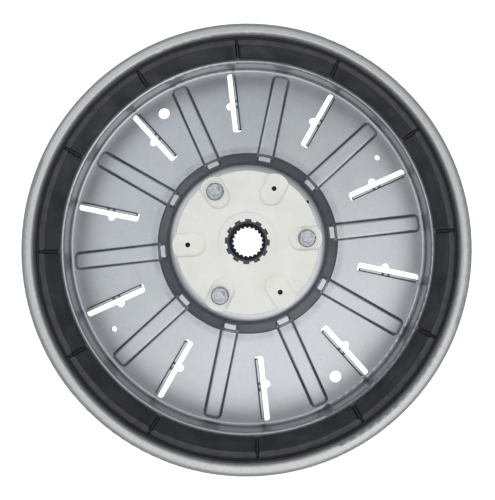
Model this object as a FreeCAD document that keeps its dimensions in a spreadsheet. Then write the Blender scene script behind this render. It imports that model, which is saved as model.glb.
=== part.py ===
import FreeCAD, Part
import math
import os
import Sketcher

# Outer rotor of a direct-drive washing-machine motor.
#
# Millimetres. Z is the rotor's axis, and the open side of the dish faces +Z. The origin is on the axis,
# in the plane of the dish's back face, so the rotor rests on Z = 0 with its open side up.
#
# A "ring" below is a circle about the Z axis. "Sheet" is the pressed steel that the dish is made of.

SIZES = {
    # dish, from the rim inwards
    "sheet": 1.8,
    "overall_height": 61.0,
    "rim_radius": 150.0,
    "rim_curl": 4.4,
    "rim_inner_curl": 2.3,
    "rim_width": 8.5,
    "rim_lip": 6.8,
    "seat_height": 18.2,
    "well_radius": 133.5,
    "well_bend": 2.2,
    "seat_bend": 1.6,
    # centre boss
    "boss_height": 20.0,
    "boss_foot": 67.4,
    "boss_shoulder": 57.0,
    "boss_foot_bend": 1.5,
    "boss_shoulder_bend": 9.0,
    # raised ribs and the gusset at the root of each
    "rib_count": 10,
    "rib_angle": -18.0,
    "rib_rise": 3.6,
    "rib_start": 49.0,
    "rib_end": 130.4,
    "rib_half_width": 7.0,
    "rib_corner": 4.0,
    "rib_slope": 15.0,
    "rib_round": 2.8,
    "gusset_height": 13.0,
    "gusset_half_width": 9.3,
    "gusset_corner": 6.2,
    "gusset_reach": 69.4,
    "gusset_slope": 20.0,
    "gusset_round": 1.2,
    # lanced slots, each with an upright fin on one edge
    "slot_start": 84.3,
    "slot_end": 130.8,
    "slot_gap_edge": 2.0,
    "slot_corner": 2.0,
    "fin_height": 6.8,
    "fin_bend": 1.2,
    "fin_relief": 1.4,
    "pilot_place": 105.0,
    "pilot_radius": 3.2,
    # drain holes
    "drain_circle": 118.0,
    "small_drain_radius": 2.1,
    "small_drain_angle": 8.6,
    "large_drain_radius": 4.4,
    "large_drain_angle": 98.9,
    # magnets
    "magnet_count": 12,
    "magnet_inner": 136.0,
    "magnet_outer": 141.3,
    "magnet_height": 34.3,
    "magnet_gap_angle": 0.62,
    "magnet_corner": 2.4,
    "magnet_edge": 0.5,
    # hub
    "hub_radius": 51.3,
    "hub_thickness": 7.0,
    "hub_edge": 0.6,
    "collar_radius": 20.6,
    "collar_rise": 1.0,
    "sleeve_radius": 22.0,
    "sleeve_drop": 16.5,
    "sleeve_clearance": 0.3,
    "seat_count": 6,
    "seat_circle": 42.8,
    "seat_sink": 2.2,
    "seat_half_width": 8.65,
    "seat_inner": 38.15,
    "seat_outer": 60.0,
    "ear_radius": 11.0,
    "bolt_hole": 3.3,
    "pin_radius": 3.4,
    "pin_drop": 3.2,
    "pin_core": 1.8,
    "pin_core_depth": 6.0,
    "pin_clearance": 0.1,
    "tooling_circle": 52.2,
    "tooling_radius": 1.2,
    "tooling_angle": 9.0,
    "tooling_depth": 1.2,
    # bushing
    "bushing_key_count": 12,
    "bushing_tip": 16.0,
    "bushing_root": 14.5,
    "key_foot_half_width": 2.6,
    "key_tip_half_width": 2.1,
    "bushing_sink": 0.4,
    "pilot_bore": 12.8,
    "pilot_depth": 4.0,
    "spline_count": 21,
    "spline_tip": 10.4,
    "spline_root": 11.45,
    "spline_mouth": 9.9,
    "spline_mouth_half": 1.2,
    "spline_root_half": 0.3,
    # bolts
    "bolt_radius": 3.0,
    "bolt_length": 14.0,
    "thread_pitch": 1.0,
    "thread_depth": 0.55,
    "thread_turns": 8,
    "thread_hole": 3.05,
    "thread_collar": 4.8,
    "thread_collar_drop": 2.6,
    "flange_radius": 6.4,
    "flange_edge": 0.8,
    "flange_rise": 1.6,
    "hex_corner": 5.6,
    "hex_height": 3.9,
    "dish_radius": 3.9,
    "dish_floor": 2.9,
    "dish_depth": 0.35,
}

# Clocking of each moulded or pressed piece about Z, in degrees.
FRAME_CLOCKING = 24.4
HUB_CLOCKING = 3.2
BUSHING_CLOCKING = -2.6
MAGNET_CLOCKING = 3.0
# Each bolt stops at its own angle, this far beyond the one before.
BOLT_TURN = 17.0

# Bolts and locating pins alternate round the hub.
BOLT_TURNS = (0, 120, 240)
PIN_TURNS = (60, 180, 300)

# How far below the back face the clearing cut reaches.
BELOW = 12.0
UP = FreeCAD.Vector(0, 0, 1)

doc = FreeCAD.newDocument("outer_rotor")


def make_sheet():
    """Put every driving dimension in the spreadsheet, one row each, under its own alias."""
    cells = doc.addObject("Spreadsheet::Sheet", "dims")
    for row, (alias, value) in enumerate(SIZES.items(), start=1):
        cells.set("A%d" % row, alias)
        cells.set("B%d" % row, str(value))
        cells.setAlias("B%d" % row, alias)
    doc.recompute()


class Size:
    """A number together with the spreadsheet expression that gives it."""

    def __init__(self, value, text):
        self.value = value
        self.text = text

    def joined(self, sign, other, value):
        return Size(value, "(%s %s %s)" % (self.text, sign, other.text))

    def __add__(self, other):
        other = as_size(other)
        return self.joined("+", other, self.value + other.value)

    def __sub__(self, other):
        other = as_size(other)
        return self.joined("-", other, self.value - other.value)

    def __mul__(self, other):
        other = as_size(other)
        return self.joined("*", other, self.value * other.value)

    def __truediv__(self, other):
        other = as_size(other)
        return self.joined("/", other, self.value / other.value)

    def __neg__(self):
        return Size(-self.value, "(0 - %s)" % self.text)


def as_size(number):
    return number if isinstance(number, Size) else Size(float(number), str(number))


def dim(alias):
    return Size(float(SIZES[alias]), "dims.%s" % alias)


def root_of_squares(first, second):
    """Length of the slanted side of a right triangle."""
    text = "sqrt(%s * %s + %s * %s)" % (first.text, first.text, second.text, second.text)
    return Size(math.hypot(first.value, second.value), text)


def bind(thing, name, size):
    """Tie a property to the spreadsheet."""
    thing.setExpression(name, as_size(size).text)


def plane_of(body, role):
    return next(item for item in body.Origin.OriginFeatures if item.Role == role)


def new_body(label, clocking=0.0, place=(0.0, 0.0, 0.0)):
    body = doc.addObject("PartDesign::Body", label)
    body.Label = label
    body.Placement = FreeCAD.Placement(FreeCAD.Vector(*place), FreeCAD.Rotation(UP, clocking))
    return body


def new_sketch(body, name, role, turn=None, lift=None):
    """A sketch on an origin plane, turned about Z by an angle and lifted along the plane's normal."""
    sketch = body.newObject("Sketcher::SketchObject", name)
    attach(body, sketch, role)
    if turn is not None:
        axis = FreeCAD.Vector(0, 0, 1) if role == "XY_Plane" else FreeCAD.Vector(0, 1, 0)
        sketch.AttachmentOffset = FreeCAD.Placement(FreeCAD.Vector(), FreeCAD.Rotation(axis, 1.0))
        bind(sketch, "AttachmentOffset.Rotation.Angle", turn)
    if lift is not None:
        bind(sketch, "AttachmentOffset.Base.z", lift)
    return sketch


def attach(body, thing, role):
    thing.AttachmentSupport = [(plane_of(body, role), "")]
    thing.MapMode = "FlatFace"


def constrain_along(sketch, kind, index, end, size):
    """Hold one coordinate of a sketch point: kind is DistanceX or DistanceY."""
    size = as_size(size)
    if size.value == 0.0:
        other_axis = -2 if kind == "DistanceX" else -1
        sketch.addConstraint(Sketcher.Constraint("PointOnObject", index, end, other_axis))
        return
    number = sketch.addConstraint(Sketcher.Constraint(kind, -1, 1, index, end, size.value))
    bind(sketch, "Constraints[%d]" % number, size)


def constrain_point(sketch, index, end, place):
    """Hold one point of a sketch at (x, y) from the sketch's origin."""
    constrain_along(sketch, "DistanceX", index, end, place[0])
    constrain_along(sketch, "DistanceY", index, end, place[1])


def constrain_radius(sketch, index, size):
    number = sketch.addConstraint(Sketcher.Constraint("Radius", index, as_size(size).value))
    bind(sketch, "Constraints[%d]" % number, size)


def vector(place):
    return FreeCAD.Vector(as_size(place[0]).value, as_size(place[1]).value, 0)


def draw_outline(sketch, places):
    """A closed outline of straight lines through the given places."""
    count = len(places)
    for index in range(count):
        line = Part.LineSegment(vector(places[index]), vector(places[(index + 1) % count]))
        sketch.addGeometry(line, False)
    for index in range(count):
        following = (index + 1) % count
        sketch.addConstraint(Sketcher.Constraint("Coincident", index, 2, following, 1))
    for index, place in enumerate(places):
        constrain_point(sketch, index, 1, place)


def draw_circle(sketch, place, radius):
    index = sketch.addGeometry(Part.Circle(vector(place), UP, as_size(radius).value), False)
    constrain_point(sketch, index, 3, place)
    constrain_radius(sketch, index, radius)


def draw_stadium(sketch, near, far, half_width):
    """A slot outline along X: two parallel lines closed by half circles centred at near and far."""
    wide = as_size(half_width).value
    side = FreeCAD.Vector(0, wide, 0)
    start = vector(near)
    end = vector(far)
    half = math.pi / 2
    far_cap = Part.ArcOfCircle(Part.Circle(end, UP, wide), -half, half)
    near_cap = Part.ArcOfCircle(Part.Circle(start, UP, wide), half, 3 * half)
    cap_a = sketch.addGeometry(far_cap, False)
    top = sketch.addGeometry(Part.LineSegment(end + side, start + side), False)
    cap_b = sketch.addGeometry(near_cap, False)
    base = sketch.addGeometry(Part.LineSegment(start - side, end - side), False)
    for first, second in ((cap_a, top), (top, cap_b), (cap_b, base), (base, cap_a)):
        sketch.addConstraint(Sketcher.Constraint("Tangent", first, 2, second, 1))
    sketch.addConstraint(Sketcher.Constraint("Equal", cap_a, cap_b))
    constrain_point(sketch, cap_a, 3, far)
    constrain_point(sketch, cap_b, 3, near)
    constrain_radius(sketch, cap_a, half_width)


def draw_bar(sketch, near, far, half_width, corner, middle=0):
    """A bar outline along X from near to far, with all four corners rounded."""
    run = (as_size(near) + corner, as_size(far) - corner)
    rise = (as_size(middle) - half_width + corner, as_size(middle) + half_width - corner)
    centres = [(run[1], rise[0]), (run[1], rise[1]), (run[0], rise[1]), (run[0], rise[0])]
    quarter = math.pi / 2
    arcs = []
    for number, centre in enumerate(centres):
        start = (number - 1) * quarter
        circle = Part.Circle(vector(centre), UP, as_size(corner).value)
        arcs.append(sketch.addGeometry(Part.ArcOfCircle(circle, start, start + quarter), False))
    for arc, following in zip(arcs, arcs[1:] + arcs[:1]):
        side = Part.LineSegment(sketch.getPoint(arc, 2), sketch.getPoint(following, 1))
        line = sketch.addGeometry(side, False)
        sketch.addConstraint(Sketcher.Constraint("Tangent", arc, 2, line, 1))
        sketch.addConstraint(Sketcher.Constraint("Tangent", line, 2, following, 1))
    for arc, centre in zip(arcs, centres):
        constrain_point(sketch, arc, 3, centre)
        constrain_radius(sketch, arc, corner)


def tangent(angle):
    """Tangent of an angle in degrees."""
    return Size(math.tan(math.radians(angle.value)), "tan(%s * 1 deg)" % angle.text)


def pad(body, sketch, length, slope=None):
    """Build upwards. With a slope, the sides lean inwards by that many degrees."""
    feature = body.newObject("PartDesign::Pad", sketch.Name + "_pad")
    feature.Profile = sketch
    bind(feature, "Length", length)
    if slope is not None:
        bind(feature, "TaperAngle", -slope)
    return feature


def pocket(body, sketch, length, slope=None):
    """Cut upwards, along the sketch's normal. With a slope, the sides lean inwards."""
    feature = body.newObject("PartDesign::Pocket", sketch.Name + "_pocket")
    feature.Profile = sketch
    feature.Reversed = True
    bind(feature, "Length", length)
    if slope is not None:
        bind(feature, "TaperAngle", -slope)
    return feature


def revolve(body, sketch, kind="PartDesign::Revolution", axis="V_Axis"):
    """Turn a sketch a full circle about one of its axes."""
    feature = body.newObject(kind, sketch.Name + "_turned")
    feature.Profile = sketch
    feature.ReferenceAxis = (sketch, [axis])
    feature.Angle = 360.0
    return feature


def repeat(body, features, count, name):
    """Repeat features round the Z axis, and make the pattern the body's tip."""
    pattern = body.newObject("PartDesign::PolarPattern", name)
    pattern.Originals = features
    pattern.Axis = (plane_of(body, "Z_Axis"), [""])
    pattern.Angle = 360.0
    bind(pattern, "Occurrences", count)
    body.Tip = pattern
    return pattern


def edges_where(shape, chosen):
    """Names of the edges of a shape that a test picks."""
    return ["Edge%d" % (index + 1) for index, edge in enumerate(shape.Edges) if chosen(edge)]


def ring_edges(shape, places):
    """Names of the full circles of a shape that lie at the given (radius, height) places."""
    names = []
    for number, edge in enumerate(shape.Edges, start=1):
        if not isinstance(edge.Curve, Part.Circle) or not edge.Closed:
            continue
        here = (edge.Curve.Radius, edge.Curve.Center.z)
        if any(math.dist(here, place) < 0.01 for place in places):
            names.append("Edge%d" % number)
    return names


def dress(body, kind, base, edges, name, size_name, size):
    """Fillet or chamfer the named edges of a feature."""
    if not edges:
        raise ValueError("no edges found for " + name)
    feature = body.newObject(kind, name)
    feature.Base = (base, edges)
    bind(feature, size_name, size)
    doc.recompute()
    return feature


def round_rings(body, base, name, places, radius):
    places = [(as_size(ring).value, as_size(height).value) for ring, height in places]
    edges = ring_edges(base.Shape, places)
    return dress(body, "PartDesign::Fillet", base, edges, name, "Radius", radius)


def removes(body, before, what):
    """Stop if a cut took nothing away."""
    doc.recompute()
    if body.Shape.Volume > before - 0.5:
        raise ValueError(what + " cut nothing")


# ---------------------------------------------------------------- pressed steel dish

def dish_section(body):
    """Section of the dish, with the boss still solid and the rim still square."""
    sheet = dim("sheet")
    rim = dim("rim_radius")
    wall = rim - dim("rim_width")
    top = dim("overall_height")
    lip = top - dim("rim_lip")
    seat = dim("seat_height")
    well = dim("well_radius")
    sketch = new_sketch(body, "dish_section", "XZ_Plane")
    draw_outline(sketch, [
        (0, 0),
        (0, dim("boss_height")),
        (dim("boss_shoulder"), dim("boss_height")),
        (dim("boss_foot"), sheet),
        (well, sheet),
        (well, seat),
        (wall, seat),
        (wall, top),
        (rim, top),
        (rim, lip),
        (rim - sheet, lip),
        (rim - sheet, top - sheet),
        (wall + sheet, top - sheet),
        (wall + sheet, seat - sheet),
        (well + sheet, seat - sheet),
        (well + sheet, 0),
    ])
    base = revolve(body, sketch)
    doc.recompute()
    return base


def round_dish(body, base):
    """Bend radii of the pressed sheet."""
    sheet = dim("sheet")
    rim = dim("rim_radius")
    wall = rim - dim("rim_width")
    top = dim("overall_height")
    seat = dim("seat_height")
    well = dim("well_radius")
    curl = dim("rim_curl")
    tight = dim("rim_inner_curl")
    base = round_rings(body, base, "rim_outside", [(rim, top)], curl)
    base = round_rings(body, base, "rim_mouth", [(wall, top)], tight)
    base = round_rings(body, base, "rim_inside", [(rim - sheet, top - sheet)], curl - sheet)
    base = round_rings(body, base, "rim_throat", [(wall + sheet, top - sheet)], tight - sheet)
    base = round_rings(body, base, "seat_edge", [(well, seat)], dim("seat_bend"))
    back_of_seat = [(wall + sheet, seat - sheet)]
    base = round_rings(body, base, "seat_back", back_of_seat, dim("seat_bend") + sheet)
    base = round_rings(body, base, "well_corner", [(well, sheet)], dim("well_bend"))
    base = round_rings(body, base, "well_back", [(well + sheet, 0)], dim("well_bend") + sheet)
    shoulder = [(dim("boss_shoulder"), dim("boss_height"))]
    base = round_rings(body, base, "boss_shoulder", shoulder, dim("boss_shoulder_bend"))
    foot = [(dim("boss_foot"), sheet)]
    return round_rings(body, base, "boss_foot", foot, dim("boss_foot_bend"))


def rib(body, name, low, inset, height, make):
    """One rib as a bar with steep sides, or, with an inset, the channel behind it."""
    sketch = new_sketch(body, name, "XY_Plane", turn=dim("rib_angle"), lift=low)
    half_width = dim("rib_half_width") - inset
    draw_bar(sketch, dim("rib_start"), dim("rib_end") - inset, half_width, dim("rib_corner") - inset)
    return make(body, sketch, height, dim("rib_slope"))


def gusset(body, name, inset, make):
    """The buttress at a rib's root, or, with an inset of one sheet, the hollow behind it."""
    sketch = new_sketch(body, name, "XY_Plane", turn=dim("rib_angle"))
    half_width = dim("gusset_half_width") - inset
    corner = dim("gusset_corner") - inset
    draw_bar(sketch, dim("rib_start"), dim("gusset_reach") - inset, half_width, corner)
    return make(body, sketch, dim("gusset_height") - inset, dim("gusset_slope"))


def is_rib_top(edge):
    """True for an edge at the top of a rib."""
    height = SIZES["sheet"] + SIZES["rib_rise"]
    box = edge.BoundBox
    return abs(box.ZMin - height) < 0.01 and abs(box.ZMax - height) < 0.01 and not on_boss(edge)


def is_gusset_top(edge):
    """True for an edge at the top of a gusset that stands clear of the boss wall."""
    height = SIZES["gusset_height"]
    box = edge.BoundBox
    return abs(box.ZMin - height) < 0.01 and abs(box.ZMax - height) < 0.01 and not on_boss(edge)


def on_boss(edge):
    """True for a level edge that lies on the boss wall."""
    middle = edge.valueAt((edge.FirstParameter + edge.LastParameter) / 2)
    slope = (SIZES["boss_foot"] - SIZES["boss_shoulder"]) / (SIZES["boss_height"] - SIZES["sheet"])
    wall = SIZES["boss_foot"] - (middle.z - SIZES["sheet"]) * slope
    return math.hypot(middle.x, middle.y) < wall + 0.3


def add_ribs(body):
    """The ribs, standing above the floor, with rounded top edges."""
    half_sheet = dim("sheet") / 2
    inset = -(half_sheet * tangent(dim("rib_slope")))
    one = rib(body, "rib", half_sheet, inset, half_sheet + dim("rib_rise"), pad)
    ribs = repeat(body, [one], dim("rib_count"), "ribs")
    doc.recompute()
    names = edges_where(ribs.Shape, is_rib_top)
    dress(body, "PartDesign::Fillet", ribs, names, "rib_tops", "Radius", dim("rib_round"))


def add_gussets(body):
    """A gusset at the root of each rib, softened at the top."""
    one = gusset(body, "gusset", as_size(0), pad)
    gussets = repeat(body, [one], dim("rib_count"), "gussets")
    doc.recompute()
    names = edges_where(gussets.Shape, is_gusset_top)
    dress(body, "PartDesign::Fillet", gussets, names, "gusset_tops", "Radius", dim("gusset_round"))


def hollow_back(body):
    """Clear the back: the inside of the boss and everything below the back face."""
    sheet = dim("sheet")
    run = dim("boss_foot") - dim("boss_shoulder")
    drop = dim("boss_height") - sheet
    inset = sheet * (root_of_squares(run, drop) - run) / drop
    roof = dim("boss_height") - sheet
    clear = dim("rim_radius")
    below = as_size(-BELOW)
    sketch = new_sketch(body, "back_section", "XZ_Plane")
    draw_outline(sketch, [
        (0, roof),
        (dim("boss_shoulder") - inset, roof),
        (dim("boss_foot") - inset, 0),
        (clear, 0),
        (clear, below),
        (0, below),
    ])
    before = body.Shape.Volume
    groove = revolve(body, sketch, "PartDesign::Groove")
    removes(body, before, "the hollow of the boss")
    inner_bend = dim("boss_shoulder_bend") - sheet
    round_rings(body, groove, "shoulder_back", [(dim("boss_shoulder") - inset, roof)], inner_bend)


def hollow_ribs(body):
    """The channels behind the ribs and gussets, one sheet below their fronts."""
    before = body.Shape.Volume
    slope = tangent(dim("rib_slope"))
    inset = dim("sheet") * (root_of_squares(as_size(1), slope) - slope)
    channel = rib(body, "rib_channel", None, inset, dim("rib_rise"), pocket)
    hollow = gusset(body, "gusset_hollow", dim("sheet"), pocket)
    pattern = repeat(body, [channel, hollow], dim("rib_count"), "channels")
    removes(body, before, "the rib channels")
    return pattern


def slots_and_fins(body):
    """Ten lanced slots. Each tongue is bent up along one edge, and stands as a fin."""
    sheet = dim("sheet")
    half = dim("slot_gap_edge")
    bend = dim("fin_bend")
    outline = new_sketch(body, "slot", "XY_Plane")
    half_width = half + (sheet + bend) / 2
    middle = half - half_width
    draw_bar(outline, dim("slot_start"), dim("slot_end"), half_width, dim("slot_corner"), middle)
    slot = pocket(body, outline, sheet * 2)
    hole = new_sketch(body, "pilot_hole", "XY_Plane")
    draw_circle(hole, (dim("pilot_place"), half), dim("pilot_radius"))
    pilot = pocket(body, hole, sheet * 2)
    fin = fin_pad(body)
    notch = fin_notch(body)
    return repeat(body, [slot, pilot, fin, notch], dim("rib_count"), "slots")


def fin_pad(body):
    """The fin's section, a plate with its bend, pushed outwards along the slot."""
    sheet = dim("sheet")
    bend = dim("fin_bend")
    inner_face = -dim("slot_gap_edge") - sheet
    root = inner_face - bend
    section = new_sketch(body, "fin_section", "YZ_Plane", lift=dim("slot_start") + dim("fin_relief"))
    centre = FreeCAD.Vector(root.value, (sheet + bend).value, 0)
    half = math.pi / 2
    inside = Part.ArcOfCircle(Part.Circle(centre, UP, bend.value), -half, 0.0)
    outside = Part.ArcOfCircle(Part.Circle(centre, UP, (sheet + bend).value), -half, 0.0)
    top = dim("fin_height")
    low = sheet + bend
    outer_face = inner_face + sheet
    arc_in = section.addGeometry(inside, False)
    wall_in = Part.LineSegment(vector((inner_face, low)), vector((inner_face, top)))
    face_in = section.addGeometry(wall_in, False)
    edge = section.addGeometry(Part.LineSegment(vector((inner_face, top)), vector((outer_face, top))), False)
    wall_out = Part.LineSegment(vector((outer_face, top)), vector((outer_face, low)))
    face_out = section.addGeometry(wall_out, False)
    arc_out = section.addGeometry(outside, False)
    heel = section.addGeometry(Part.LineSegment(vector((root, 0)), vector((root, sheet))), False)
    for joint in ((face_in, 2, edge, 1), (edge, 2, face_out, 1), (arc_out, 1, heel, 1), (heel, 2, arc_in, 1)):
        section.addConstraint(Sketcher.Constraint("Coincident", *joint))
    section.addConstraint(Sketcher.Constraint("Tangent", arc_in, 2, face_in, 1))
    section.addConstraint(Sketcher.Constraint("Tangent", face_out, 2, arc_out, 2))
    section.addConstraint(Sketcher.Constraint("Horizontal", edge))
    for arc, radius in ((arc_in, bend), (arc_out, sheet + bend)):
        constrain_point(section, arc, 3, (root, low))
        constrain_radius(section, arc, radius)
    constrain_along(section, "DistanceX", heel, 1, root)
    constrain_along(section, "DistanceX", heel, 2, root)
    constrain_along(section, "DistanceY", edge, 1, top)
    return pad(body, section, dim("slot_end") - dim("slot_start") - dim("fin_relief") * 2)


def fin_notch(body):
    """The other half of the pilot hole, in the fin's free edge."""
    cut = new_sketch(body, "fin_notch", "XZ_Plane")
    draw_circle(cut, (dim("pilot_place"), dim("fin_height")), dim("pilot_radius"))
    feature = body.newObject("PartDesign::Pocket", "fin_notch_pocket")
    feature.Profile = cut
    feature.SideType = "Symmetric"
    bind(feature, "Length", (dim("slot_gap_edge") + dim("sheet")) * 3)
    return feature


def floor_holes(body):
    """Two small and two large drain holes, each pair on one diameter."""
    for name, radius, angle in (("small_drains", "small_drain_radius", "small_drain_angle"),
                                ("large_drains", "large_drain_radius", "large_drain_angle")):
        sketch = new_sketch(body, name, "XY_Plane", turn=dim(angle))
        for side in (1, -1):
            draw_circle(sketch, (dim("drain_circle") * side, 0), dim(radius))
        before = body.Shape.Volume
        pocket(body, sketch, dim("sheet") * 2)
        removes(body, before, name)


def plate_holes(body):
    """Holes in the boss plate, for the hub's sleeve, bolts and locating pins, and a tooling dimple."""
    hub_turn = HUB_CLOCKING - FRAME_CLOCKING
    roof = dim("boss_height") - dim("sheet")
    collars = new_sketch(body, "thread_collars", "XY_Plane", lift=roof - dim("thread_collar_drop"))
    places = [polar(dim("seat_circle"), hub_turn + turn) for turn in BOLT_TURNS]
    for place in places:
        draw_circle(collars, place, dim("thread_collar"))
    pad(body, collars, dim("thread_collar_drop"))
    cuts = new_sketch(body, "plate_cuts", "XY_Plane", lift=roof - dim("thread_collar_drop") * 2)
    draw_circle(cuts, (0, 0), dim("sleeve_radius") + dim("sleeve_clearance"))
    for place in places:
        draw_circle(cuts, place, dim("thread_hole"))
    for turn in PIN_TURNS:
        place = polar(dim("seat_circle"), hub_turn + turn)
        draw_circle(cuts, place, dim("pin_radius") + dim("pin_clearance"))
    before = body.Shape.Volume
    pocket(body, cuts, dim("boss_height"))
    removes(body, before, "the plate holes")
    dimple = new_sketch(body, "dimple", "XY_Plane", lift=dim("boss_height") - dim("tooling_depth"))
    draw_circle(dimple, polar(dim("tooling_circle"), SIZES["tooling_angle"]), dim("tooling_radius"))
    before = body.Shape.Volume
    pocket(body, dimple, dim("boss_height"))
    removes(body, before, "the tooling dimple")


def polar(radius, degrees):
    """A place on a circle, still tied to the circle's radius."""
    angle = math.radians(degrees)
    return (radius * round(math.cos(angle), 9), radius * round(math.sin(angle), 9))


def make_rotor_frame():
    body = new_body("rotor_frame", FRAME_CLOCKING)
    round_dish(body, dish_section(body))
    add_ribs(body)
    add_gussets(body)
    hollow_back(body)
    hollow_ribs(body)
    slots_and_fins(body)
    doc.recompute()
    floor_holes(body)
    plate_holes(body)
    return body


# ---------------------------------------------------------------- magnets

def make_magnet(number):
    """One arc magnet, standing on the seat ledge, with rounded inner corners and dulled edges."""
    pitch = 360.0 / SIZES["magnet_count"]
    body = new_body("magnet_%02d" % number, MAGNET_CLOCKING + pitch * (number - 0.5))
    low = dim("seat_height")
    high = low + dim("magnet_height")
    sketch = new_sketch(body, "section_%02d" % number, "XZ_Plane")
    inner = dim("magnet_inner")
    outer = dim("magnet_outer")
    draw_outline(sketch, [(inner, low), (outer, low), (outer, high), (inner, high)])
    arc = revolve(body, sketch)
    arc.Midplane = True
    bind(arc, "Angle", as_size(360) / dim("magnet_count") - dim("magnet_gap_angle"))
    doc.recompute()
    uprights = edges_where(arc.Shape, is_inner_upright)
    kind = "PartDesign::Fillet"
    rounded = dress(body, kind, arc, uprights, "corners_%02d" % number, "Radius", dim("magnet_corner"))
    tops = edges_where(rounded.Shape, is_magnet_end_edge)
    dress(body, "PartDesign::Chamfer", rounded, tops, "edges_%02d" % number, "Size", dim("magnet_edge"))
    return body


def is_inner_upright(edge):
    """True for an upright edge of a magnet on its concave side."""
    box = edge.BoundBox
    upright = box.ZLength > SIZES["magnet_height"] * 0.9
    return upright and math.hypot(box.XMin, box.YMin) < SIZES["magnet_inner"] + 1.0


def is_magnet_end_edge(edge):
    """True for an edge of a magnet's top face."""
    top = SIZES["seat_height"] + SIZES["magnet_height"]
    return abs(edge.BoundBox.ZMin - top) < 0.01


# ---------------------------------------------------------------- hub

def hub_disc(body):
    """The disc with its six ears, the raised collar, the sleeve and the locating pins."""
    base = dim("boss_height")
    top = base + dim("hub_thickness")
    sketch = new_sketch(body, "disc", "XY_Plane", lift=base)
    draw_circle(sketch, (0, 0), dim("hub_radius"))
    disc = pad(body, sketch, dim("hub_thickness"))
    doc.recompute()
    edge = ring_edges(disc.Shape, [(dim("hub_radius").value, top.value)])
    dress(body, "PartDesign::Fillet", disc, edge, "disc_edge", "Radius", dim("hub_edge"))
    ear = new_sketch(body, "ear", "XY_Plane", lift=base)
    draw_circle(ear, (dim("seat_circle"), 0), dim("ear_radius"))
    ear_pad = pad(body, ear, dim("hub_thickness") - dim("seat_sink"))
    repeat(body, [ear_pad], dim("seat_count"), "ears")
    collar = new_sketch(body, "collar", "XY_Plane", lift=base)
    draw_circle(collar, (0, 0), dim("collar_radius"))
    pad(body, collar, dim("hub_thickness") + dim("collar_rise"))
    sleeve = new_sketch(body, "sleeve", "XY_Plane", lift=base - dim("sleeve_drop"))
    draw_circle(sleeve, (0, 0), dim("sleeve_radius"))
    pad(body, sleeve, dim("sleeve_drop") + dim("hub_thickness") / 2)
    pin = new_sketch(body, "pins", "XY_Plane", lift=base - dim("pin_drop"))
    for turn in PIN_TURNS:
        draw_circle(pin, polar(dim("seat_circle"), turn), dim("pin_radius"))
    pad(body, pin, dim("pin_drop") + dim("hub_thickness") / 2)
    doc.recompute()


def hub_cuts(body):
    """Sunk seats open at the rim, bolt holes, cored pins and the keyed hole that holds the bushing."""
    base = dim("boss_height")
    floor = base + dim("hub_thickness") - dim("seat_sink")
    before = body.Shape.Volume
    seat = new_sketch(body, "seat", "XY_Plane", lift=floor)
    draw_stadium(seat, (dim("seat_inner"), 0), (dim("seat_outer"), 0), dim("seat_half_width"))
    seat_cut = pocket(body, seat, dim("hub_thickness"))
    repeat(body, [seat_cut], dim("seat_count"), "seats")
    removes(body, before, "the seats")
    before = body.Shape.Volume
    bolts = new_sketch(body, "bolt_holes", "XY_Plane")
    for turn in BOLT_TURNS:
        draw_circle(bolts, polar(dim("seat_circle"), turn), dim("bolt_hole"))
    pocket(body, bolts, base * 2)
    cores = new_sketch(body, "pin_cores", "XY_Plane", lift=floor - dim("pin_core_depth"))
    for turn in PIN_TURNS:
        draw_circle(cores, polar(dim("seat_circle"), turn), dim("pin_core"))
    pocket(body, cores, dim("pin_core_depth") * 2)
    removes(body, before, "the hub's holes")


def bushing_span():
    """Lowest height and length of the bushing: flush with the sleeve's end, just under the collar."""
    low = dim("boss_height") - dim("sleeve_drop")
    high = dim("boss_height") + dim("hub_thickness") + dim("collar_rise") - dim("bushing_sink")
    return low, high - low


def make_hub():
    body = new_body("hub", HUB_CLOCKING)
    hub_disc(body)
    hub_cuts(body)
    before = body.Shape.Volume
    low, length = bushing_span()
    bushing_keyway(body, low, length)
    removes(body, before, "the bushing's hole")
    return body


def bushing_keyway(body, low, length):
    """The same outline as the bushing's, clocked as the bushing is, cut right through the hub."""
    clear = length + dim("bushing_sink") * 2
    core = new_sketch(body, "key_core", "XY_Plane", lift=low)
    draw_circle(core, (0, 0), dim("bushing_root"))
    pocket(body, core, clear)
    key = new_sketch(body, "key", "XY_Plane", turn=as_size(BUSHING_CLOCKING - HUB_CLOCKING), lift=low)
    draw_key(key)
    one = pocket(body, key, clear)
    repeat(body, [one], dim("bushing_key_count"), "keys")


def draw_key(sketch):
    """One key's outline, slightly narrower at its tip."""
    half = dim("key_foot_half_width")
    tip_half = dim("key_tip_half_width")
    inner = dim("bushing_root") - half
    outer = dim("bushing_tip")
    draw_outline(sketch, [(inner, -half), (outer, -tip_half), (outer, tip_half), (inner, half)])


# ---------------------------------------------------------------- bushing

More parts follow.
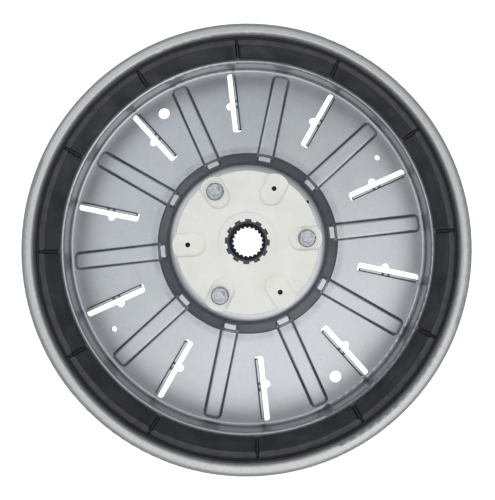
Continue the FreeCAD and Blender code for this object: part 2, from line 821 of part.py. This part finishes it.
def make_spline_bushing():
    """A sintered bushing: keys outside, a plain pilot bore at its mouth, and the spline below it."""
    body = new_body("spline_bushing", BUSHING_CLOCKING)
    low, length = bushing_span()
    core = new_sketch(body, "round_bar", "XY_Plane", lift=low)
    draw_circle(core, (0, 0), dim("bushing_root"))
    pad(body, core, length)
    key = new_sketch(body, "bushing_key", "XY_Plane", lift=low)
    draw_key(key)
    one = pad(body, key, length)
    repeat(body, [one], dim("bushing_key_count"), "bushing_keys")
    doc.recompute()
    before = body.Shape.Volume
    bore = new_sketch(body, "spline_bore", "XY_Plane")
    draw_circle(bore, (0, 0), dim("spline_tip"))
    pocket(body, bore, dim("overall_height"))
    pilot = new_sketch(body, "pilot", "XY_Plane", lift=low + length - dim("pilot_depth"))
    draw_circle(pilot, (0, 0), dim("pilot_bore"))
    pocket(body, pilot, dim("overall_height"))
    tooth = new_sketch(body, "tooth_space", "XY_Plane")
    mouth = dim("spline_mouth")
    half = dim("spline_mouth_half")
    root = dim("spline_root")
    root_half = dim("spline_root_half")
    draw_outline(tooth, [(mouth, -half), (root, -root_half), (root, root_half), (mouth, half)])
    one = pocket(body, tooth, dim("overall_height"))
    repeat(body, [one], dim("spline_count"), "spline")
    removes(body, before, "the spline")
    return body


# ---------------------------------------------------------------- bolts

def bolt_section():
    """Half section of a bolt without its hexagon: dished top, washer face, and a threaded shank."""
    radius = dim("bolt_radius")
    core = radius - dim("thread_depth")
    pitch = dim("thread_pitch")
    end = -dim("bolt_length")
    edge = dim("flange_edge")
    places = [(0, dim("flange_rise")), (dim("hex_corner"), dim("flange_rise"))]
    places += [(dim("flange_radius"), edge), (dim("flange_radius"), 0), (radius, 0)]
    turns = SIZES["thread_turns"]
    for turn in range(turns, 0, -1):
        start = end + pitch * turn
        places += [(radius, start), (core, start - pitch / 2)]
    places += [(core, end), (0, end)]
    return places


def make_bolt(number):
    """A hexagon washer-head bolt with a dished top, its seat at the body's origin."""
    turn = HUB_CLOCKING + BOLT_TURNS[number - 1]
    across, along = (size.value for size in polar(dim("seat_circle"), turn))
    seat = SIZES["boss_height"] + SIZES["hub_thickness"] - SIZES["seat_sink"]
    body = new_body("hub_bolt_%d" % number, turn + BOLT_TURN * number, (across, along, seat))
    section = new_sketch(body, "bolt_section_%d" % number, "XZ_Plane")
    draw_outline(section, bolt_section())
    revolve(body, section)
    head = body.newObject("PartDesign::AdditivePrism", "hexagon_%d" % number)
    attach(body, head, "XY_Plane")
    head.Polygon = 6
    bind(head, "Circumradius", dim("hex_corner"))
    bind(head, "Height", dim("flange_rise") + dim("hex_height"))
    doc.recompute()
    before = body.Shape.Volume
    dish = new_sketch(body, "dish_%d" % number, "XZ_Plane")
    top = dim("flange_rise") + dim("hex_height")
    floor = top - dim("dish_depth")
    rim = dim("dish_radius")
    draw_outline(dish, [(0, top + 1), (rim, top + 1), (rim, top), (dim("dish_floor"), floor), (0, floor)])
    revolve(body, dish, "PartDesign::Groove")
    removes(body, before, "the dished top")
    return body


def check_document():
    """Stop on any failed object."""
    doc.recompute()
    for item in doc.Objects:
        if "Invalid" in item.State or "Error" in item.State:
            raise ValueError("%s failed: %s" % (item.Label, item.State))


def export(parts):
    os.makedirs("parts", exist_ok=True)
    for part in parts:
        if part.Shape.isNull() or not part.Shape.isValid():
            raise ValueError(part.Label + " has no valid shape")
    for part in parts:
        part.Shape.exportStep("parts/%s.step" % part.Label)
        print("%-16s %10.1f mm3, %d solid" % (part.Label, part.Shape.Volume, len(part.Shape.Solids)))


make_sheet()
pieces = [make_rotor_frame(), make_hub(), make_spline_bushing()]
pieces += [make_bolt(number) for number in (1, 2, 3)]
pieces += [make_magnet(number) for number in range(1, SIZES["magnet_count"] + 1)]
check_document()
export(pieces)
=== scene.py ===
import math

import bmesh
import bpy
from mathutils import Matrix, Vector


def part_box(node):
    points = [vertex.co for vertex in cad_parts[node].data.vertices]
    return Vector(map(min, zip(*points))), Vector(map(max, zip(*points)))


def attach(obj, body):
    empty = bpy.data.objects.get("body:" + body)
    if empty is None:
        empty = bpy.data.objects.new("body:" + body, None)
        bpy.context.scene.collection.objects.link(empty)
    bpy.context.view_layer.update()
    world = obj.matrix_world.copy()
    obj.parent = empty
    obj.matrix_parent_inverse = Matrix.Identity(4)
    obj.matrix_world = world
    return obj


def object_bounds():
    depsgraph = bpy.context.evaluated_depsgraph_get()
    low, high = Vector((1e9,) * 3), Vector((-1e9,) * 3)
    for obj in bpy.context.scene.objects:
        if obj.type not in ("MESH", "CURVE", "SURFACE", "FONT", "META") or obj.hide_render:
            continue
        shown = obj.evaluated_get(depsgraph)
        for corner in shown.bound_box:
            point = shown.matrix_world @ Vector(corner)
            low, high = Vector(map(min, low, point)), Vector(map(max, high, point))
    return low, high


# Outer rotor of a direct-drive washing-machine motor, lying on its back with the open side up.
# Metres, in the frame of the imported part: Z is the rotor's axis.

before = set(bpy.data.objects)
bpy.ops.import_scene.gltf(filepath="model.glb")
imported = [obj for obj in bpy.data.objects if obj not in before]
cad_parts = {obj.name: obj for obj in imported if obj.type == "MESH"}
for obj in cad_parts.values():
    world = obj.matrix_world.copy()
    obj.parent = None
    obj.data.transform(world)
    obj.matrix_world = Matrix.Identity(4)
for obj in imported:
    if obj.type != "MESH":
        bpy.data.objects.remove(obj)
cad_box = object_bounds()

MM = 0.001
MAGNETS = ["magnet_%02d" % number for number in range(1, 13)]
BOLTS = ["hub_bolt_%d" % number for number in range(1, 4)]


# ---------------------------------------------------------------- material nodes

class Surface:
    """One procedural material: a Principled shader and the nodes that feed it."""

    def __init__(self, name, constants):
        self.material = bpy.data.materials.new(name)
        self.material.use_nodes = True
        self.tree = self.material.node_tree
        self.shader = self.tree.nodes["Principled BSDF"]
        for socket, value in constants.items():
            self.shader.inputs[socket].default_value = value

    def add(self, kind, inputs=(), **settings):
        """A node with its settings made and its inputs, by name or number, linked or filled in."""
        node = self.tree.nodes.new("ShaderNode" + kind)
        for key, value in settings.items():
            setattr(node, key, value)
        for key, value in dict(inputs).items():
            if isinstance(value, bpy.types.NodeSocket):
                self.tree.links.new(value, node.inputs[key])
            else:
                node.inputs[key].default_value = value
        return node

    def math(self, operation, first, second=0.0):
        return self.add("Math", {0: first, 1: second}, operation=operation).outputs[0]

    def place(self):
        """Where a point of the surface is, in metres."""
        return self.add("TexCoord").outputs["Object"]

    def part_of(self, vector, axis):
        """One coordinate of a vector."""
        return self.add("SeparateXYZ", {0: vector}).outputs[axis]

    def facing_up(self):
        """The upward part of the surface's normal."""
        return self.part_of(self.add("NewGeometry").outputs["Normal"], "Z")

    def rolled_out(self, centre, girth):
        """The place unrolled about a vertical line: (distance from it, way round it, height)."""
        offset = self.add("VectorMath", {0: self.place(), 1: centre}, operation="SUBTRACT").outputs[0]
        parts = self.add("SeparateXYZ", {0: offset}).outputs
        flat = self.add("CombineXYZ", {0: parts["X"], 1: parts["Y"]}).outputs[0]
        away = self.add("VectorMath", {0: flat}, operation="LENGTH").outputs["Value"]
        turn = self.math("ARCTAN2", parts["Y"], parts["X"])
        round_it = self.math("MULTIPLY", turn, girth)
        return self.add("CombineXYZ", {0: away, 1: round_it, 2: parts["Z"]}).outputs[0]

    def stretched(self, place, factors):
        return self.add("VectorMath", {0: place, 1: factors}, operation="MULTIPLY").outputs[0]

    def noise(self, place, size, detail=3.0, rough=0.5):
        """Cloudy noise whose features are about the given size across."""
        inputs = {"Vector": place, "Scale": 1.0 / size, "Detail": detail, "Roughness": rough}
        return self.add("TexNoise", inputs).outputs["Fac"]

    def cells(self, place, size):
        """Distance from the nearest of many scattered points, in steps of the given size."""
        inputs = {"Vector": place, "Scale": 1.0 / size}
        return self.add("TexVoronoi", inputs).outputs["Distance"]

    def span(self, value, start, end, low=0.0, high=1.0):
        """Value carried from start..end to low..high, held at both ends."""
        inputs = {0: value, 1: start, 2: end, 3: low, 4: high}
        return self.add("MapRange", inputs).outputs[0]

    def mix(self, amount, first, second):
        """A colour between two colours."""
        colour = {"Factor": amount, 6: first, 7: second}
        return self.add("Mix", colour, data_type="RGBA").outputs[2]

    def colour(self, socket):
        self.tree.links.new(socket, self.shader.inputs["Base Color"])

    def roughness(self, socket):
        self.tree.links.new(socket, self.shader.inputs["Roughness"])

    def relief(self, layers):
        """Stack bumps, each given as (height from 0 to 1, real depth)."""
        normal = None
        for height, depth in layers:
            inputs = {"Height": height, "Distance": depth, "Strength": 1.0}
            if normal is not None:
                inputs["Normal"] = normal
            normal = self.add("Bump", inputs).outputs["Normal"]
        self.tree.links.new(normal, self.shader.inputs["Normal"])


def grey(value, tint=(1.0, 1.0, 1.0)):
    return (value * tint[0], value * tint[1], value * tint[2], 1.0)


# ---------------------------------------------------------------- materials

STEEL_TINT = (0.975, 1.0, 1.045)
RIM_TINT = (1.0, 1.0, 0.985)

# Where features of the part lie, for the looks that belong to them: lengths in metres, turns in degrees.
WALL_RADIUS = 140 * MM
MAGNET_FACE = 136 * MM
TOOLING_RING = 52.2 * MM
TOOLING_TURN = 33.4
DIMPLE_MOUTH = 19.95 * MM
FRAME_TURN = 24.4
SLOT_START = 84.3 * MM
SLOT_END = 130.8 * MM
FIN_MIDDLE = -2.9 * MM
FIN_HALF = 0.9 * MM
HUB_TURN = 63.2
PIN_RING = 42.8 * MM
CORE_MOUTH = 24.6 * MM
AXIS = (0.0, 0.0, 0.0)


def pressed_steel():
    """Zinc-plated sheet: satin, faintly mottled, with drawing marks, pits and rubbed crests, a faint
    darker ring round the boss foot, and painted shade along the fin edges and in the tooling dimple.
    """
    s = Surface("pressed_steel", {"Metallic": 1.0})
    place = s.place()
    unrolled = s.rolled_out(AXIS, WALL_RADIUS)
    away = s.part_of(unrolled, "X")
    mottle = s.noise(place, 28 * MM, 4.0, 0.6)
    spangle = s.noise(place, 2.4 * MM, 3.0, 0.7)
    grain = s.noise(place, 0.55 * MM, 2.0, 0.6)
    drawn = s.noise(s.stretched(unrolled, (0.25, 3.0, 0.12)), 2.2 * MM, 4.0, 0.62)
    pits = s.span(s.cells(place, 9 * MM), 0.045, 0.075, 1.0, 0.0)
    smudge = s.span(s.noise(place, 60 * MM, 5.0, 0.7), 0.42, 0.62)
    rim = s.span(away, WALL_RADIUS, WALL_RADIUS + 3 * MM)

    base = s.mix(s.span(mottle, 0.35, 0.65), grey(0.46, STEEL_TINT), grey(0.51, STEEL_TINT))
    base = s.mix(s.math("MULTIPLY", smudge, 0.18), base, grey(0.40, STEEL_TINT))
    base = s.mix(s.span(drawn, 0.40, 0.75, 0.0, 0.15), base, grey(0.62, STEEL_TINT))
    base = s.mix(s.span(spangle, 0.40, 0.62, 0.0, 0.16), base, grey(0.36, STEEL_TINT))
    rim_steel = s.mix(spangle, grey(0.46, RIM_TINT), grey(0.68, RIM_TINT))
    base = s.mix(s.math("MULTIPLY", rim, 0.85), base, rim_steel)
    base = s.mix(s.math("MULTIPLY", pits, 0.35), base, grey(0.18, STEEL_TINT))
    # a faint uneven darker ring round the foot of the boss
    base = s.mix(boss_foot_dark_ring(s, away, place), base, grey(0.33, STEEL_TINT))
    # painted shade: dark lines along the long edges of the fins
    base = s.mix(s.math("MULTIPLY", fin_edge_painted_shade(s, away), 0.85), base, grey(0.05))
    # painted shade: near black inside the tooling dimple
    base = s.mix(tooling_dimple_painted_shade(s, place), base, grey(0.004))
    s.colour(base)

    rough = s.span(mottle, 0.3, 0.7, 0.31, 0.38)
    rough = s.math("ADD", rough, s.span(grain, 0.3, 0.7, -0.02, 0.04))
    s.roughness(s.math("ADD", rough, s.math("MULTIPLY", rim, 0.17)))
    s.relief([(drawn, 0.02 * MM), (grain, 0.010 * MM), (s.math("SUBTRACT", 1.0, pits), 0.04 * MM)])
    return s.material


def folded_turn(s, start, count):
    """The angle about the rotor's axis, folded so that every one of count equal sectors reads the same."""
    step = 2 * math.pi / count
    turn = s.math("SUBTRACT", s.part_of(s.rolled_out(AXIS, 1.0), "Y"), start)
    sector = s.math("ROUND", s.math("DIVIDE", turn, step))
    return s.math("SUBTRACT", turn, s.math("MULTIPLY", sector, step))


def fin_edge_painted_shade(s, away):
    """Painted shade: dark lines along both long edges of each fin, where its edges fall into shadow."""
    folded = folded_turn(s, math.radians(FRAME_TURN), 10)
    aside = s.math("MULTIPLY", away, s.math("SINE", folded))
    from_middle = s.math("ABSOLUTE", s.math("SUBTRACT", aside, FIN_MIDDLE))
    from_edge = s.math("ABSOLUTE", s.math("SUBTRACT", from_middle, FIN_HALF))
    line = s.span(from_edge, 0.15 * MM, 0.5 * MM, 1.0, 0.0)
    begun = s.span(away, SLOT_START, SLOT_START + 1.5 * MM)
    ended = s.span(away, SLOT_END - 1.5 * MM, SLOT_END, 1.0, 0.0)
    return s.math("MULTIPLY", line, s.math("MULTIPLY", begun, ended))


def boss_foot_dark_ring(s, away, place):
    """A faint uneven darker ring round the foot of the boss."""
    inside = s.span(away, 67.5 * MM, 68.3 * MM)
    outside = s.span(away, 71.0 * MM, 73.5 * MM, 1.0, 0.0)
    uneven = s.span(s.noise(place, 7 * MM, 4.0, 0.65), 0.35, 0.65, 0.15, 0.75)
    return s.math("MULTIPLY", s.math("MULTIPLY", inside, outside), uneven)


def tooling_dimple_painted_shade(s, place):
    """Painted shade: near black in the tooling dimple beside the hub, where the hole lies in deep shadow.
    """
    turn = math.radians(TOOLING_TURN)
    centre = (TOOLING_RING * math.cos(turn), TOOLING_RING * math.sin(turn), 0.0)
    spread = s.part_of(s.rolled_out(centre, 1.0), "X")
    low = s.span(s.part_of(place, "Z"), DIMPLE_MOUTH, DIMPLE_MOUTH - 0.1 * MM)
    return s.math("MULTIPLY", s.span(spread, 1.25 * MM, 1.5 * MM, 1.0, 0.0), low)


def ferrite():
    """Pressed and ground magnet ceramic: near black, with grinding lines up its face and painted light on
    its upward faces.
    """
    s = Surface("ferrite", {"Metallic": 0.0, "IOR": 1.5, "Specular IOR Level": 0.2})
    place = s.place()
    unrolled = s.rolled_out(AXIS, MAGNET_FACE)
    ground = s.noise(s.stretched(unrolled, (1.0, 1.0, 0.06)), 0.9 * MM, 3.0, 0.6)
    cloud = s.noise(place, 14 * MM, 4.0, 0.6)
    grit = s.noise(place, 0.35 * MM, 1.0)
    up = s.span(s.facing_up(), 0.45, 0.9)

    base = s.mix(s.span(cloud, 0.35, 0.68), grey(0.008, (1.0, 0.98, 1.04)), grey(0.019, (1.0, 0.98, 1.04)))
    base = s.mix(s.span(ground, 0.5, 0.8, 0.0, 0.35), base, grey(0.045, (1.0, 1.0, 1.05)))
    # painted light: upward faces lighter in patches, as where overhead light falls on the magnets' tops
    painted_top_light = s.span(s.noise(place, 5 * MM, 3.0), 0.3, 0.7, 0.55, 1.0)
    base = s.mix(s.math("MULTIPLY", up, painted_top_light), base, grey(0.088, (1.0, 0.97, 1.06)))
    s.colour(base)
    s.roughness(s.span(cloud, 0.3, 0.7, 0.40, 0.55))
    s.relief([(ground, 0.02 * MM), (grit, 0.01 * MM)])
    return s.material


def cream_resin():
    """Glass-filled moulding resin: warm off-white, faintly clouded, with a fine moulded texture."""
    s = Surface("cream_resin", {"Metallic": 0.0, "IOR": 1.5})
    place = s.place()
    cloud = s.noise(place, 16 * MM, 4.0, 0.6)
    fibre = s.noise(s.stretched(place, (1.0, 3.0, 1.0)), 1.3 * MM, 3.0, 0.6)
    grit = s.noise(place, 0.4 * MM, 2.0)
    handled = s.span(s.noise(place, 24 * MM, 5.0, 0.65), 0.48, 0.70, 0.0, 0.5)

    base = s.mix(s.span(cloud, 0.35, 0.65), (0.88, 0.855, 0.79, 1.0), (0.93, 0.91, 0.855, 1.0))
    base = s.mix(s.span(fibre, 0.45, 0.75, 0.0, 0.3), base, (0.93, 0.915, 0.875, 1.0))
    base = s.mix(handled, base, (0.82, 0.785, 0.705, 1.0))
    # painted shade: near black inside the locating-pin cores
    base = s.mix(pin_core_painted_shade(s, place), base, (0.035, 0.028, 0.015, 1.0))
    s.colour(base)
    s.roughness(s.span(cloud, 0.3, 0.7, 0.38, 0.5))
    s.relief([(fibre, 0.02 * MM), (grit, 0.012 * MM)])
    return s.material


def pin_core_painted_shade(s, place):
    """Painted shade: near black down in the blind cores of the three locating pins, where the light does
    not reach.
    """
    folded = folded_turn(s, math.radians(HUB_TURN), 3)
    away = s.part_of(s.rolled_out(AXIS, 1.0), "X")
    along = s.math("SUBTRACT", s.math("MULTIPLY", away, s.math("COSINE", folded)), PIN_RING)
    aside = s.math("MULTIPLY", away, s.math("SINE", folded))
    spread = s.math("SQRT", s.math("ADD", s.math("POWER", along, 2.0), s.math("POWER", aside, 2.0)))
    low = s.span(s.part_of(place, "Z"), CORE_MOUTH, CORE_MOUTH - 0.3 * MM)
    return s.math("MULTIPLY", s.span(spread, 1.95 * MM, 2.2 * MM, 1.0, 0.0), low)


def sintered_steel():
    """Steam-treated sintered steel: dark blue-grey, finely pitted, with painted light making upward faces
    brighter.
    """
    s = Surface("sintered_steel", {"Metallic": 1.0})
    place = s.place()
    pores = s.cells(place, 0.5 * MM)
    cloud = s.noise(place, 5 * MM, 4.0, 0.6)
    up = s.span(s.facing_up(), 0.5, 0.95)
    base = s.mix(s.span(cloud, 0.35, 0.65), (0.014, 0.014, 0.020, 1.0), (0.040, 0.040, 0.055, 1.0))
    away = s.part_of(s.rolled_out(AXIS, 0.014), "X")
    # painted light: upward faces beyond 12.8 mm from the axis lighter
    painted_top_light = s.math("MULTIPLY", up, s.span(away, 12.8 * MM, 13.4 * MM))
    base = s.mix(painted_top_light, base, (0.070, 0.074, 0.080, 1.0))
    base = s.mix(s.span(pores, 0.0, 0.35, 0.6, 0.0), base, (0.008, 0.008, 0.012, 1.0))
    s.colour(base)
    s.roughness(s.span(cloud, 0.3, 0.7, 0.36, 0.5))
    s.relief([(pores, 0.03 * MM)])
    return s.material


def zinc_plating(node):
    """Bright zinc on one bolt, with rings left by forging and turning about its own axis."""
    low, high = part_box(node)
    middle = ((low.x + high.x) / 2, (low.y + high.y) / 2, 0.0)
    s = Surface("zinc_" + node, {"Metallic": 1.0})
    place = s.place()
    unrolled = s.rolled_out(middle, 0.004)
    turned = s.noise(s.stretched(unrolled, (3.0, 0.25, 3.0)), 1.0 * MM, 3.0, 0.6)
    cloud = s.noise(place, 3 * MM, 4.0, 0.65)
    base = s.mix(s.span(cloud, 0.35, 0.65), grey(0.26, STEEL_TINT), grey(0.46, STEEL_TINT))
    base = s.mix(s.span(turned, 0.42, 0.62, 0.0, 0.7), base, grey(0.70, STEEL_TINT))
    s.colour(base)
    s.roughness(s.span(cloud, 0.3, 0.7, 0.34, 0.48))
    s.relief([(turned, 0.05 * MM)])
    return s.material


def glue_and_gap_shade():
    """Black magnet glue with a dull skin, so dark that it is also painted shade for the gaps beside and
    between the magnets.
    """
    s = Surface("glue_and_gap_shade", {"Metallic": 0.0})
    place = s.place()
    cloud = s.noise(place, 4 * MM, 4.0, 0.6)
    base = s.mix(s.span(cloud, 0.35, 0.65), grey(0.004), grey(0.014))
    s.colour(base)
    s.roughness(s.span(cloud, 0.3, 0.7, 0.42, 0.62))
    s.relief([(s.noise(place, 1.2 * MM, 3.0), 0.12 * MM)])
    return s.material


GROUND_GLOW = 0.05


def paper_white():
    """The seamless white ground under the rotor, overexposed to the eye but giving little light back."""
    s = Surface("paper_white", {"Roughness": 0.85, "Emission Color": (1, 1, 1, 1)})
    seen = s.add("LightPath").outputs["Is Camera Ray"]
    glow = s.span(seen, 0.0, 1.0, GROUND_GLOW, 1.0)
    s.tree.links.new(glow, s.shader.inputs["Emission Strength"])
    fine = s.noise(s.place(), 90 * MM, 3.0)
    s.colour(s.mix(fine, grey(0.42), grey(0.46)))
    s.relief([(s.noise(s.place(), 1.5 * MM, 2.0), 0.02 * MM)])
    return s.material


# ---------------------------------------------------------------- magnet glue and painted gap shade

def mesh_piece(name, mesh, material):
    """Finish a bmesh as a smooth object that belongs to the rotor."""
    bmesh.ops.recalc_face_normals(mesh, faces=mesh.faces)
    data = bpy.data.meshes.new(name)
    mesh.to_mesh(data)
    mesh.free()
    data.polygons.foreach_set("use_smooth", [True] * len(data.polygons))
    data.materials.append(material)
    piece = bpy.data.objects.new(name, data)
    bpy.context.scene.collection.objects.link(piece)
    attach(piece, "root")
    return piece


def close_loops(mesh, rings, round_again):
    """Skin a row of closed loops of vertices, joining the last to the first or capping both ends."""
    pairs = list(zip(rings, rings[1:]))
    if round_again:
        pairs.append((rings[-1], rings[0]))
    count = len(rings[0])
    for first, second in pairs:
        for index in range(count):
            following = (index + 1) % count
            mesh.faces.new((first[index], first[following], second[following], second[index]))
    if not round_again:
        mesh.faces.new(rings[0])
        mesh.faces.new(reversed(rings[-1]))


def wander(turn):
    """A hand-laid unevenness between about -1 and 1, the same each time."""
    return (math.sin(5 * turn + 0.7) + math.sin(13 * turn + 2.1) + 0.7 * math.sin(29 * turn + 4.0)) / 2.7


def turned(away, aside, up, turn):
    """A point away from the axis and aside from it, carried round by a turn."""
    x = away * math.cos(turn) - aside * math.sin(turn)
    y = away * math.sin(turn) + aside * math.cos(turn)
    return (x, y, up)


def glue_and_shade_ring(name, radius, height, breadth, material):
    """The black bead laid where the magnets' tops meet the wall of the dish: glue, and painted shade for
    the gap there.
    """
    steps = 480
    sides = 10
    mesh = bmesh.new()
    rings = []
    for step in range(steps):
        turn = 2 * math.pi * step / steps
        size = breadth * (1 + 0.16 * wander(turn))
        ring = []
        for side in range(sides):
            around = 2 * math.pi * side / sides
            away = radius + size / 2 * math.cos(around)
            up = height + 0.2 * MM * wander(turn + 1.0) + size / 2 * math.sin(around)
            ring.append(mesh.verts.new(turned(away, 0.0, up, turn)))
        rings.append(ring)
    close_loops(mesh, rings, True)
    return mesh_piece(name, mesh, material)


# ---------------------------------------------------------------- put the looks on

def dress_nodes():
    steel = pressed_steel()
    dark = ferrite()
    looks = {"rotor_frame": steel, "hub": cream_resin(), "spline_bushing": sintered_steel()}
    looks.update({name: dark for name in MAGNETS})
    looks.update({name: zinc_plating(name) for name in BOLTS})
    for name, material in looks.items():
        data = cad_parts[name].data
        data.materials.clear()
        data.materials.append(material)


def glue_and_shade_strip(name, turn, inner, outer, foot, top, breadth, material):
    """Black glue squeezed out between two magnets, standing from the ledge to their tops, and painted
    shade for the gap between them.
    """
    mesh = bmesh.new()
    steps = 24
    rings = []
    for step in range(steps + 1):
        up = foot + (top - foot) * step / steps
        uneven = wander(turn * 7 + up / MM / 6)
        half = breadth / 2 * (1 + 0.15 * uneven)
        near = inner + (0.9 + 0.3 * uneven) * MM
        edge = near + 0.4 * MM
        outline = ((near, 0.0), (edge, half), (outer, half), (outer, -half), (edge, -half))
        rings.append([mesh.verts.new(turned(away, aside, up, turn)) for away, aside in outline])
    close_loops(mesh, rings, False)
    return mesh_piece(name, mesh, material)


def magnet_turns(name):
    """The two ends of a magnet, as angles either side of its middle."""
    corners = [v.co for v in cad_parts[name].data.vertices]
    middle = sum((Vector((v.x, v.y, 0.0)) for v in corners), Vector())
    centre = math.atan2(middle.y, middle.x)
    around = [math.remainder(math.atan2(v.y, v.x) - centre, 2 * math.pi) for v in corners]
    return centre + min(around), centre + max(around)


def lay_glue_and_gap_shade():
    low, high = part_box("magnet_01")
    reaches = [math.hypot(v.co.x, v.co.y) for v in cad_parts["magnet_01"].data.vertices]
    inner, outer = min(reaches), max(reaches)
    # near-black glue that is also painted shade in the gaps round the magnets
    black_glue_and_shade = glue_and_gap_shade()
    bead = glue_and_shade_ring("magnet_glue", outer - 0.4 * MM, high.z + 0.1 * MM, 1.5 * MM, black_glue_and_shade)
    for number, name in enumerate(MAGNETS):
        end = magnet_turns(name)[1]
        start = magnet_turns(MAGNETS[(number + 1) % len(MAGNETS)])[0]
        gap = math.remainder(start - end, 2 * math.pi)
        strip = glue_and_shade_strip("gap_glue_and_shade_%02d" % (number + 1), end + gap / 2, inner, outer,
                           low.z, high.z - 0.2 * MM, abs(gap) * inner + 0.1 * MM, black_glue_and_shade)


# ---------------------------------------------------------------- stage

def lay_ground():
    half = 3.0
    mesh = bmesh.new()
    corners = [(-half, -half), (half, -half), (half, half), (-half, half)]
    ground = cad_box[0].z - 0.2 * MM
    mesh.faces.new([mesh.verts.new((x, y, ground)) for x, y in corners])
    data = bpy.data.meshes.new("ground")
    mesh.to_mesh(data)
    mesh.free()
    data.materials.append(paper_white())
    piece = bpy.data.objects.new("ground", data)
    bpy.context.scene.collection.objects.link(piece)


def soft_light(name, place, size, power, colour=(1.0, 1.0, 1.0)):
    """A square panel of light that faces the rotor."""
    lamp = bpy.data.lights.new(name, "AREA")
    lamp.shape = "SQUARE"
    lamp.size = size
    lamp.energy = power
    lamp.color = colour
    panel = bpy.data.objects.new(name, lamp)
    panel.location = place
    panel.rotation_mode = "QUATERNION"
    panel.rotation_quaternion = (-Vector(place)).to_track_quat("-Z", "Y")
    bpy.context.scene.collection.objects.link(panel)


def light_room():
    """A dim room with a pale ceiling, one large soft box overhead and a weaker one opposite."""
    world = bpy.data.worlds.new("studio")
    world.use_nodes = True
    nodes = world.node_tree.nodes
    link = world.node_tree.links.new
    sky = nodes["Background"]
    sky.inputs["Color"].default_value = (0.93, 0.97, 1.0, 1.0)
    way = nodes.new("ShaderNodeTexCoord")
    parts = nodes.new("ShaderNodeSeparateXYZ")
    lift = nodes.new("ShaderNodeMapRange")
    link(way.outputs["Generated"], parts.inputs[0])
    link(parts.outputs["Z"], lift.inputs["Value"])
    lift.inputs["From Min"].default_value = 0.20
    lift.inputs["From Max"].default_value = 0.97
    lift.inputs["To Min"].default_value = WALLS
    lift.inputs["To Max"].default_value = CEILING
    link(lift.outputs["Result"], sky.inputs["Strength"])
    bpy.context.scene.world = world
    soft_light("key", (0.45, -0.75, 1.6), 1.9, 11.0, (1.0, 0.99, 0.97))
    soft_light("fill", (-0.9, 0.5, 1.6), 1.2, 3.5, (0.9, 0.95, 1.0))


WALLS = 0.26
CEILING = 0.78

LENS = 45.73
SENSOR = 36.0
CAMERA_PLACE = (0.0072, -0.0067, 0.4825)
CAMERA_PITCH = 6.59
CAMERA_SHIFT = (-0.0198, -0.1448)


def set_camera():
    """Nearly straight down the axis, tipped a little so the far wall shows more than the near one."""
    data = bpy.data.cameras.new("camera")
    data.sensor_width = SENSOR
    data.lens = LENS
    data.shift_x, data.shift_y = CAMERA_SHIFT
    data.clip_start = 0.01
    camera = bpy.data.objects.new("camera", data)
    camera.location = CAMERA_PLACE
    camera.rotation_euler = (math.radians(CAMERA_PITCH), 0.0, 0.0)
    bpy.context.scene.collection.objects.link(camera)
    bpy.context.scene.camera = camera


dress_nodes()
lay_glue_and_gap_shade()
lay_ground()
light_room()
set_camera()
bpy.context.scene.view_settings.view_transform = "Standard"
